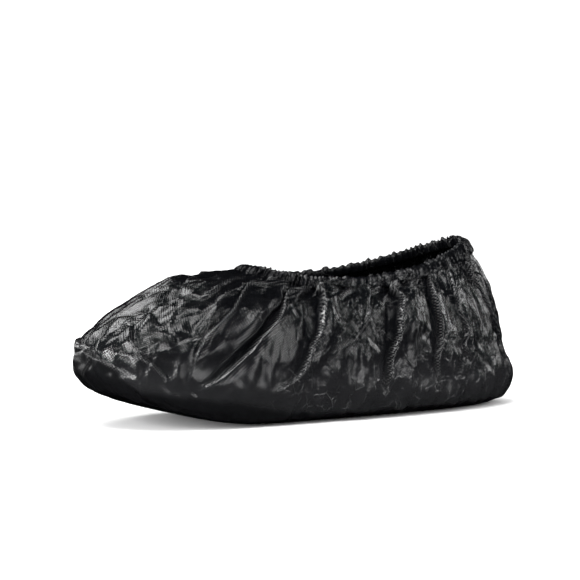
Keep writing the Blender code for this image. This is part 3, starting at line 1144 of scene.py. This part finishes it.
@dataclass
class GatheredHem:
    """The channel of film round the opening, in fine uneven ruffles over the elastic.

    Attributes:
        form: the smooth form.
        ruffles: the gathers, which run on from the film bag.
        columns: points round the opening.
        wall: thickness of the shown film.
        turn_in, inner_share: the outset from which the channel's inner side counts, and the
            share of the ruffles there; less than 0 lets both sides swell and shrink together.
        film_start, film_step: where the hem lies in the film's own coordinates.
        front: the share of the front's finish.
    """

    form: CoverForm
    ruffles: Ruffles
    columns: int = 1080
    wall: float = 0.0003
    turn_in: float = -0.0021
    inner_share: float = -0.6
    film_start: float = 0.100
    film_step: float = 0.0011
    front: float = 0.4

    # outset and height of the channel's section, with the shares of gather and ruffle there
    SECTION: ClassVar[tuple[tuple[float, ...], ...]] = (
        (-0.0006, -0.34, 1.0, 0.9), (0.0000, -0.16, 1.0, 1.0), (0.0003, 0.02, 0.95, 1.0),
        (0.0003, 0.18, 0.9, 1.0), (0.0002, 0.36, 0.85, 1.0), (0.0002, 0.54, 0.8, 1.0),
        (0.0001, 0.70, 0.75, 1.0), (-0.0002, 0.84, 0.7, 1.0), (-0.0007, 0.95, 0.6, 0.8),
        (-0.0015, 0.99, 0.4, 0.6), (-0.0023, 0.95, 0.2, 0.6), (-0.0034, 0.80, 0.1, 0.5),
        (-0.0040, 0.60, 0.1, 0.4), (-0.0042, 0.38, 0.1, 0.4), (-0.0042, 0.16, 0.1, 0.3),
        (-0.0042, -0.05, 0.1, 0.3),
    )

    def build(self, finish: bpy.types.Material) -> bpy.types.Object:
        """Builds the hem and gives it its finish.

        Args:
            finish: the film's material.
        Returns:
            The finished piece.
        """
        angles = -90 + 360 * np.arange(self.columns) / self.columns
        turn = np.radians(angles)
        size = self.form.size
        neck = self.form.points(angles, np.full(self.columns, size.neck_level))
        rise = self.form.points(angles, np.full(self.columns, size.hem_level)) - neck
        way = np.roll(neck, -1, axis=0) - np.roll(neck, 1, axis=0)
        out = unit(np.stack([way[:, 1], -way[:, 0], np.zeros(self.columns)], axis=-1))
        gathers = self.ruffles.large(turn)
        crown = 1 + 70 * self.ruffles.fine(turn, 1.2) + 50 * gathers
        rows = []
        for outset, height, gather_share, ruffle_share in self.SECTION:
            lean = 0.5 * height * np.sin(9 * turn)
            sign = 1.0 if outset > self.turn_in else self.inner_share
            push = outset + gather_share * gathers
            push = push + sign * ruffle_share * self.ruffles.fine(turn, lean)
            lifted = height * (1 + (crown - 1) * smooth_step(np.array(height), 0.2, 0.9))
            rows.append(neck + rise * np.reshape(lifted, (-1, 1)) + out * push[:, None])
        points = np.stack(rows)
        piece = new_piece("hem_ruffle", points, closed_grid(len(rows), self.columns))
        across = np.tile(self.form.across(angles), len(rows))
        along = self.film_start + self.film_step * np.arange(len(rows))
        add_uv(piece, across, np.repeat(along, self.columns), self.form.film_round)
        add_values(piece, "band", np.zeros(points.shape[:2]))
        add_values(piece, "front", np.full(points.shape[:2], self.front))
        wall = piece.modifiers.new("Wall", "SOLIDIFY")
        wall.thickness = self.wall
        wall.offset = -1
        apply_modifier(piece, "Wall")
        piece.data.materials.append(finish)
        LOG.info("%s: %d ruffles", piece.name, self.ruffles.count)
        return piece


class Socket(Enum):
    """Kinds of group sockets."""

    VALUE = "NodeSocketFloat"
    VECTOR = "NodeSocketVector"


class Cells(Enum):
    """Ways to measure the distance in a pattern of cells."""

    SLANTED = "MANHATTAN"
    SQUARE = "CHEBYCHEV"


@dataclass
class Graph:
    """A node tree with short ways to add and join nodes."""

    tree: bpy.types.NodeTree

    def add(
        self, kind: str, inputs: dict[str | int, object] | None = None, **settings: object
    ) -> bpy.types.Node:
        """Adds a node.

        Args:
            kind: the node's type.
            inputs: sockets or constants for its inputs, by name or number.
            settings: its properties.
        Returns:
            The node.
        """
        node = self.tree.nodes.new(kind)
        for name, value in settings.items():
            setattr(node, name, value)
        self.feed(node, inputs or {})
        return node

    def feed(self, node: bpy.types.Node, inputs: dict[str | int, object]) -> None:
        """Links sockets to a node's inputs, or puts constants on them.

        Args:
            node: the node.
            inputs: sockets or constants, by the input's name or number.
        """
        for name, source in inputs.items():
            if isinstance(source, bpy.types.NodeSocket):
                self.tree.links.new(source, node.inputs[name])
            else:
                node.inputs[name].default_value = source

    def math(self, operation: str, *values: object) -> bpy.types.NodeSocket:
        """Adds a Math node over sockets or numbers and returns its result."""
        node = self.add("ShaderNodeMath", dict(enumerate(values)), operation=operation)
        return node.outputs[0]

    def times(self, first: object, last: object) -> bpy.types.NodeSocket:
        """Returns the product of two values."""
        return self.math("MULTIPLY", first, last)

    def ramp(
        self, value: object, low: float, high: float, first: float, last: float
    ) -> bpy.types.NodeSocket:
        """Maps a value from low..high to first..last, eased and clamped.

        Args:
            value: a socket or a number.
            low, high: where the step begins and ends.
            first, last: the result there.
        Returns:
            The result's socket.
        """
        inputs = dict(enumerate((value, low, high, first, last)))
        node = self.add("ShaderNodeMapRange", inputs, interpolation_type="SMOOTHSTEP")
        return node.outputs[0]

    def blend(self, factor: object, first: object, last: object) -> bpy.types.NodeSocket:
        """Mixes two colours by a factor."""
        inputs = {0: factor, 6: first, 7: last}
        return self.add("ShaderNodeMix", inputs, data_type="RGBA").outputs[2]

    def stored(self, name: str) -> bpy.types.NodeSocket:
        """Returns the piece's own attribute of this name."""
        return self.add("ShaderNodeAttribute", attribute_name=name).outputs["Fac"]

    def group(self, tree: bpy.types.NodeTree, **inputs: object) -> bpy.types.NodeSocket:
        """Adds a shader group with its inputs and returns its result."""
        return self.add("ShaderNodeGroup", inputs, node_tree=tree).outputs[0]

    def bump(self, height: object, distance: float, **inputs: object) -> bpy.types.NodeSocket:
        """Adds a Bump node with its further inputs and returns its normal."""
        inputs = {"Height": height, "Distance": distance, **inputs}
        return self.add("ShaderNodeBump", inputs).outputs["Normal"]


Fill = Callable[[Graph, bpy.types.Node], bpy.types.NodeSocket]


def make_group(
    name: str, place: str, number: str, start: float, result: str, fill: Fill
) -> bpy.types.NodeTree:
    """Makes a shader node group with two inputs and one result.

    Args:
        name: the group's name.
        place: the name of its vector input.
        number, start: the name and the default of its number input.
        result: the name of its result.
        fill: adds the group's nodes after its input node and returns the result.
    Returns:
        The node group.
    """
    tree = bpy.data.node_groups.new(name, "ShaderNodeTree")
    tree.interface.new_socket(place, in_out="INPUT", socket_type=Socket.VECTOR.value)
    socket = tree.interface.new_socket(number, in_out="INPUT", socket_type=Socket.VALUE.value)
    socket.default_value = start
    tree.interface.new_socket(result, in_out="OUTPUT", socket_type=Socket.VALUE.value)
    graph = Graph(tree)
    graph.add("NodeGroupOutput", {result: fill(graph, graph.add("NodeGroupInput"))})
    return tree


def new_surface(name: str) -> tuple[bpy.types.Material, Graph, bpy.types.Node]:
    """Makes a material with nodes.

    Args:
        name: its name.
    Returns:
        The material, its graph and its shader node.
    """
    material = bpy.data.materials.new(name)
    material.use_nodes = True
    return material, Graph(material.node_tree), material.node_tree.nodes["Principled BSDF"]


def fill_embossing(graph: Graph, given: bpy.types.Node) -> bpy.types.NodeSocket:
    """Makes the diamond embossing, from the film's own coordinates.

    Args:
        graph: the group's nodes.
        given: its input node.
    Returns:
        The height.
    """
    parts = graph.add("ShaderNodeSeparateXYZ", {0: given.outputs["Film"]})
    rate = graph.math("DIVIDE", math.tau, given.outputs["Pitch"])
    first, second = (
        graph.math("SINE", graph.times(graph.math(way, *parts.outputs[:2]), rate))
        for way in ("ADD", "SUBTRACT")
    )
    return graph.math("MULTIPLY_ADD", graph.math("ADD", first, second), 0.25, 0.5)


def turned_point(graph: Graph, given: bpy.types.Node, turn: float) -> bpy.types.NodeSocket:
    """Warps a group's point slightly, draws it out upwards and turns it.

    Args:
        graph: the group's nodes.
        given: its input node.
        turn: the angle, in radians.
    Returns:
        The new point.
    """
    point = given.outputs["Point"]
    scale = graph.times(given.outputs["Scale"], 0.8)
    noise = graph.add("ShaderNodeTexNoise", {"Vector": point, "Scale": scale, "Detail": 1.0})
    inputs = {0: noise.outputs["Color"], 1: (0.010, 0.010, 0.010), 2: point}
    warp = graph.add("ShaderNodeVectorMath", inputs, operation="MULTIPLY_ADD")
    inputs = {
        "Vector": warp.outputs[0],
        "Location": (turn, 2 * turn, 3 * turn),
        "Rotation": (turn, 0.7 * turn, 1.3 * turn),
        "Scale": (1.0, 1.0, 0.62),
    }
    return graph.add("ShaderNodeMapping", inputs).outputs[0]


def turned_texture(
    graph: Graph, given: bpy.types.Node, kind: str, turn: float, rate: float, **settings: object
) -> bpy.types.Node:
    """Adds a texture on the turned point.

    Args:
        graph: the group's nodes.
        given: its input node.
        kind: the texture's type.
        turn: the angle, in radians.
        rate: its scale, as a multiple of the group's.
        settings: its properties.
    Returns:
        The texture's node.
    """
    inputs = {
        "Vector": turned_point(graph, given, turn),
        "Scale": graph.times(given.outputs["Scale"], rate),
    }
    return graph.add(kind, inputs, **settings)


def fill_crinkle(graph: Graph, given: bpy.types.Node) -> bpy.types.NodeSocket:
    """Makes small flat facets with sharp edges, as in handled film.

    Args:
        graph: the group's nodes.
        given: its input node.
    Returns:
        The height.
    """
    total: object = 0.0
    for rate, turn, kind, share in (
        (0.8, 0.5, Cells.SLANTED, 0.60),
        (1.9, 1.3, Cells.SQUARE, 0.60),
        (4.0, 2.2, Cells.SLANTED, 0.25),
    ):
        cells = turned_texture(
            graph, given, "ShaderNodeTexVoronoi", turn, rate, distance=kind.value
        )
        total = graph.math("ADD", graph.times(cells.outputs["Distance"], share / rate), total)
    return total


def fill_curls(graph: Graph, given: bpy.types.Node) -> bpy.types.NodeSocket:
    """Makes thin straight and curling ridges, broken up here and there.

    Args:
        graph: the group's nodes.
        given: its input node.
    Returns:
        The height.
    """
    total: object = 0.0
    for rate, turn, width, share in ((1.0, 0.5, 0.035, 0.50), (1.9, 1.7, 0.050, 0.35)):
        edges = turned_texture(
            graph, given, "ShaderNodeTexVoronoi", turn, rate, feature="DISTANCE_TO_EDGE"
        )
        noise = turned_texture(graph, given, "ShaderNodeTexNoise", 2 + turn, 1.3 * rate)
        ridge = graph.ramp(edges.outputs["Distance"], 0.0, width, share, 0.0)
        mask = graph.ramp(noise.outputs["Fac"], 0.46, 0.58, 0.0, 1.0)
        total = graph.math("ADD", graph.times(ridge, mask), total)
    for rate, width, share in ((1.6, 0.035, 0.20), (4.2, 0.060, 0.15)):
        noise = turned_texture(graph, given, "ShaderNodeTexNoise", rate, rate)
        graph.feed(noise, {"Detail": 1.0, "Distortion": 0.6})
        tone = graph.add("ShaderNodeSeparateColor", {0: noise.outputs["Color"]})
        away = graph.math("ABSOLUTE", graph.math("SUBTRACT", tone.outputs[0], 0.5))
        ridge = graph.ramp(away, 0.0, width, share, 0.0)
        mask = graph.ramp(tone.outputs[1], 0.48, 0.58, 0.0, 1.0)
        total = graph.math("ADD", graph.times(ridge, mask), total)
    return total


def fill_haze(graph: Graph, given: bpy.types.Node) -> bpy.types.NodeSocket:
    """Makes the soft clouding of a handled surface.

    Args:
        graph: the group's nodes.
        given: its input node.
    Returns:
        The mask.
    """
    inputs = {"Vector": given.outputs["Point"], "Scale": given.outputs["Scale"], "Detail": 4.0}
    noise = graph.add("ShaderNodeTexNoise", inputs)
    return graph.ramp(noise.outputs["Fac"], 0.35, 0.68, 0.0, 1.0)


@dataclass
class Effects:
    """The shader groups that the finishes share."""

    embossing: bpy.types.NodeTree = field(init=False)
    crinkle: bpy.types.NodeTree = field(init=False)
    curls: bpy.types.NodeTree = field(init=False)
    haze: bpy.types.NodeTree = field(init=False)

    def __post_init__(self) -> None:
        """Makes the groups."""
        for field_name, name, place, number, start, result, fill in (
            ("embossing", "diamond_embossing", "Film", "Pitch", 0.0016, "Height", fill_embossing),
            ("crinkle", "film_crinkle", "Point", "Scale", 80.0, "Height", fill_crinkle),
            ("curls", "curled_creases", "Point", "Scale", 45.0, "Height", fill_curls),
            ("haze", "handled_haze", "Point", "Scale", 40.0, "Mask", fill_haze),
        ):
            setattr(self, field_name, make_group(name, place, number, start, result, fill))


@dataclass(frozen=True)
class FilmFinish:
    """Thin glossy black film with fine embossing and sharp little crinkles.

    Attributes:
        name: the material's name.
        colour, painted_bounce_colour, taut_colour: of the film, of the lower wall painted lighter
        as floor bounce light, and of the taut band.
        painted_glint_colour: of the painted highlights, dotted along the crests and on the thin
            ridges.
        roughness, haze_roughness, band_roughness: of the film, and what haze and band add.
        embossing_pitch, embossing_depth: of the diamonds, in metres.
        crinkle_scale, crinkle_depth: of the small facets.
        curl_scale, curl_height: of the thin ridges.
        reflection, band_reflection: of the film, and the share left in the taut band.
        glint_strength: how strong the painted highlights on the thin ridges are.
    """

    name: str
    colour: Colour = (0.0022, 0.0024, 0.0030, 1.0)
    painted_bounce_colour: Colour = (0.010, 0.0102, 0.011, 1.0)
    taut_colour: Colour = (0.0034, 0.0035, 0.0040, 1.0)
    painted_glint_colour: Colour = (0.075, 0.075, 0.075, 1.0)
    roughness: float = 0.18
    haze_roughness: float = 0.08
    band_roughness: float = 0.10
    embossing_pitch: float = 0.0019
    embossing_depth: float = 0.00009
    crinkle_scale: float = 75.0
    crinkle_depth: float = 0.0008
    curl_scale: float = 58.0
    curl_height: float = 0.0010
    reflection: float = 0.45
    band_reflection: float = 0.4
    glint_strength: float = 0.28

    def make(self, effects: Effects) -> bpy.types.Material:
        """Builds the material.

        Args:
            effects: the shared shader groups.
        Returns:
            The material.
        """
        material, graph, shader = new_surface(self.name)
        place = graph.add("ShaderNodeTexCoord").outputs
        point = place["Object"]
        band, front, crest, valley_shade, low = map(
            graph.stored, ("band", "front", "crest", "valley_shade", "low")
        )
        emboss = graph.group(effects.embossing, Film=place["UV"], Pitch=self.embossing_pitch)
        crinkle = graph.group(effects.crinkle, Point=point, Scale=self.crinkle_scale)
        curls = graph.group(effects.curls, Point=point, Scale=self.curl_scale)
        haze = graph.group(effects.haze, Point=point)

        rear = graph.ramp(front, 0.2, 0.8, 1.0, 0.24)
        amount = graph.times(rear, graph.math("SUBTRACT", 1.0, band))
        amount = graph.times(amount, graph.ramp(haze, 0, 1, 0.5, 1.0))
        pressed = graph.times(graph.ramp(band, 0, 1, 1.0, 0.15), graph.ramp(crest, 0, 1, 1.0, 0.4))
        normal = graph.bump(crinkle, self.crinkle_depth, Strength=amount)
        normal = graph.bump(curls, self.curl_height, Strength=amount, Normal=normal)
        normal = graph.bump(emboss, self.embossing_depth, Strength=pressed, Normal=normal)

        rough = graph.math("MULTIPLY_ADD", haze, self.haze_roughness, self.roughness)
        rough = graph.math("MULTIPLY_ADD", band, self.band_roughness, rough)
        shine = graph.ramp(band, 0, 1, self.reflection, self.band_reflection * self.reflection)
        # painted shade: the gloss is cut deep in the pleat valleys
        shine = graph.times(shine, graph.ramp(valley_shade, 0.1, 0.8, 1.0, 0.12))

        # painted highlights: pale dots along the pleat crests where the embossing stands high, and
        # pale thin ridges
        crest_glints = graph.times(crest, graph.ramp(emboss, 0.4, 0.9, 0, 1))
        ridge_glints = graph.ramp(graph.times(curls, amount), 0.05, 0.50, 0.0, self.glint_strength)
        # painted floor bounce light: the lower wall's colour is made lighter
        colour = graph.blend(low, self.colour, self.painted_bounce_colour)
        colour = graph.blend(band, colour, self.taut_colour)
        colour = graph.blend(graph.math("MAXIMUM", crest_glints, ridge_glints), colour, self.painted_glint_colour)
        graph.feed(shader, {
            "Base Color": colour,
            "Roughness": rough,
            "IOR": 1.5,
            "Normal": normal,
            "Specular IOR Level": shine,
        })
        return material


@dataclass(frozen=True)
class ElasticFinish:
    """Matt black elastic with fine ribs along it.

    Attributes:
        name: the material's name.
        colour: of the elastic.
        rib_scale, rib_height: of the ribs.
    """

    name: str = "elastic"
    colour: Colour = (0.02, 0.02, 0.021, 1.0)
    rib_scale: float = 900.0
    rib_height: float = 0.0001

    def make(self) -> bpy.types.Material:
        """Builds and returns the material."""
        material, graph, shader = new_surface(self.name)
        inputs = {
            "Vector": graph.add("ShaderNodeTexCoord").outputs["Object"],
            "Scale": self.rib_scale,
        }
        ribs = graph.add("ShaderNodeTexWave", inputs, bands_direction="Z").outputs["Fac"]
        graph.feed(shader, {
            "Base Color": self.colour,
            "Roughness": graph.ramp(ribs, 0, 1, 0.8, 0.65),
            "Normal": graph.bump(ribs, self.rib_height),
        })
        return material


@dataclass(frozen=True)
class SoftBox:
    """One area light aimed at the cover; lengths in metres, power in watts."""

    name: str
    place: Corner
    target: Corner
    size: Pair
    power: float


@dataclass(frozen=True)
class Studio:
    """Floor, lights, world and camera.

    Attributes:
        azimuth, elevation, distance, target: where the camera stands and looks.
        lens, sensor, shift, clip: of the camera.
        floor_level, floor_half, floor_colour: of the floor.
        sky: strength of the white world.
        boxes: the lights.
    """

    azimuth: float = 58.27
    elevation: float = 4.93
    distance: float = 1.602
    lens: float = 149.8
    sensor: float = 36.0
    shift: Pair = (-0.0228, 0.0750)
    clip: Pair = (0.05, 50.0)
    target: Corner = (-0.0009, 0.0005, 0.0518)
    floor_level: float = -0.0013
    floor_half: float = 6.0
    floor_colour: Colour = (0.93, 0.93, 0.93, 1.0)
    sky: float = 1.12
    boxes: tuple[SoftBox, ...] = (
        SoftBox("key", (0.2, -1.7, 0.6), (0.0, -0.05, 0.05), (0.40, 0.9), 34.0),
        SoftBox("side", (1.5, 0.9, 0.30), (0.0, 0.05, 0.04), (0.40, 0.56), 4.0),
        SoftBox("low", (1.65, 0.45, 0.12), (0.0, 0.0, 0.03), (0.90, 0.20), 5.6),
        SoftBox("toe", (-0.95, -1.4, 0.14), (0.0, -0.1, 0.03), (0.80, 0.24), 8.0),
        SoftBox("front", (0.8, -0.65, 1.75), (0.0, 0.0, 0.05), (0.8, 0.6), 24.0),
        SoftBox("left", (-1.1, -0.3, 1.35), (0.0, 0.0, 0.05), (0.7, 0.6), 11.0),
        SoftBox("far", (-1.6, -0.55, 0.34), (0.0, 0.0, 0.04), (1.1, 0.5), 8.0),
        SoftBox("back", (0.3, 1.65, 0.6), (0.0, 0.0, 0.05), (0.5, 0.6), 8.0),
    )

    def build(self) -> None:
        """Builds the floor, the lights, the world and the camera."""
        self._floor()
        for box in self.boxes:
            self._light(box)
        self._world()
        self._camera()

    def _floor(self) -> None:
        """Builds the matt floor, which is kept out of the film's gloss."""
        half = self.floor_half
        around = ((-half, -half), (half, -half), (half, half), (-half, half))
        corners = np.array([(x, y, self.floor_level) for x, y in around])
        floor = new_piece("floor", corners, [(0, 1, 2, 3)])
        material, graph, shader = new_surface("pale_floor")
        finish = {"Base Color": self.floor_colour, "Roughness": 1.0, "Specular IOR Level": 0.0}
        graph.feed(shader, finish)
        floor.data.materials.append(material)
        floor.visible_glossy = False

    def _light(self, box: SoftBox) -> None:
        """Adds one soft box, which the camera doesn't see.

        Args:
            box: its sizes, place and power.
        """
        data = bpy.data.lights.new(box.name, "AREA")
        data.shape = "RECTANGLE"
        data.size, data.size_y = box.size
        data.energy = box.power
        light = bpy.data.objects.new(box.name, data)
        light.visible_camera = False
        bpy.context.scene.collection.objects.link(light)
        place = np.array(box.place)
        self._aim(light, place, place - np.array(box.target))

    @staticmethod
    def _aim(thing: bpy.types.Object, place: Array, back: Array) -> None:
        """Puts a light or camera in its place.

        Args:
            thing: the light or camera.
            place: where it stands.
            back: the way opposite to its view.
        """
        thing.location = place.tolist()
        thing.rotation_mode = "QUATERNION"
        thing.rotation_quaternion = (-Vector(back.tolist())).to_track_quat("-Z", "Y")

    def _world(self) -> None:
        """Makes the world white, and keeps it out of the film's reflections."""
        world = bpy.data.worlds.new("studio")
        world.use_nodes = True
        bpy.context.scene.world = world
        white = {"Color": (1.0, 1.0, 1.0, 1.0), "Strength": self.sky}
        Graph(world.node_tree).feed(world.node_tree.nodes["Background"], white)
        world.cycles_visibility.glossy = False
        bpy.context.scene.view_settings.view_transform = "Standard"

    def _camera(self) -> None:
        """Adds the camera."""
        data = bpy.data.cameras.new("camera")
        data.lens, data.sensor_width = self.lens, self.sensor
        data.shift_x, data.shift_y = self.shift
        data.clip_start, data.clip_end = self.clip
        camera = bpy.data.objects.new("camera", data)
        bpy.context.scene.collection.objects.link(camera)
        turn, lift = math.radians(self.azimuth), math.radians(self.elevation)
        back = np.array([math.sin(turn) * math.cos(lift), -math.cos(turn) * math.cos(lift),
                         math.sin(lift)])
        self._aim(camera, np.array(self.target) + back * self.distance, back)
        bpy.context.scene.camera = camera


@dataclass
class ShoeCover:
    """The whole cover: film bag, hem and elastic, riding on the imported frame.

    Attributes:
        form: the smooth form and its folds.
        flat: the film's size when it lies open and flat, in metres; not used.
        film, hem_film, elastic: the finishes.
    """

    form: CoverForm = field(default_factory=CoverForm)
    flat: Pair = (0.34, 0.41)
    film: FilmFinish = FilmFinish("film")
    hem_film: FilmFinish = FilmFinish(
        "hem_film", crinkle_depth=0.0012, curl_height=0.0006, reflection=0.25
    )
    elastic: ElasticFinish = ElasticFinish()

    def build(self) -> None:
        """Builds the film bag and the hem, ties them to the frame, and refinishes the imported
        elastic.
        """
        effects = Effects()
        ruffles = Ruffles()
        bag = FilmBag(self.form, ruffles).build(self.film.make(effects))
        hem = GatheredHem(self.form, ruffles).build(self.hem_film.make(effects))
        for piece, node in ((bag, "film_bag"), (hem, "gathered_hem")):
            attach(piece, "root")
            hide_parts(node)
        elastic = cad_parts["elastic_band"]
        elastic.data.materials.clear()
        elastic.data.materials.append(self.elastic.make())
        LOG.info("elastic_band: ribbed finish")


def main() -> None:
    """Builds the cover and the studio."""
    logging.basicConfig(level=logging.INFO, format="%(name)s: %(message)s")
    ShoeCover().build()
    Studio().build()


if __name__ == "__main__":
    main()
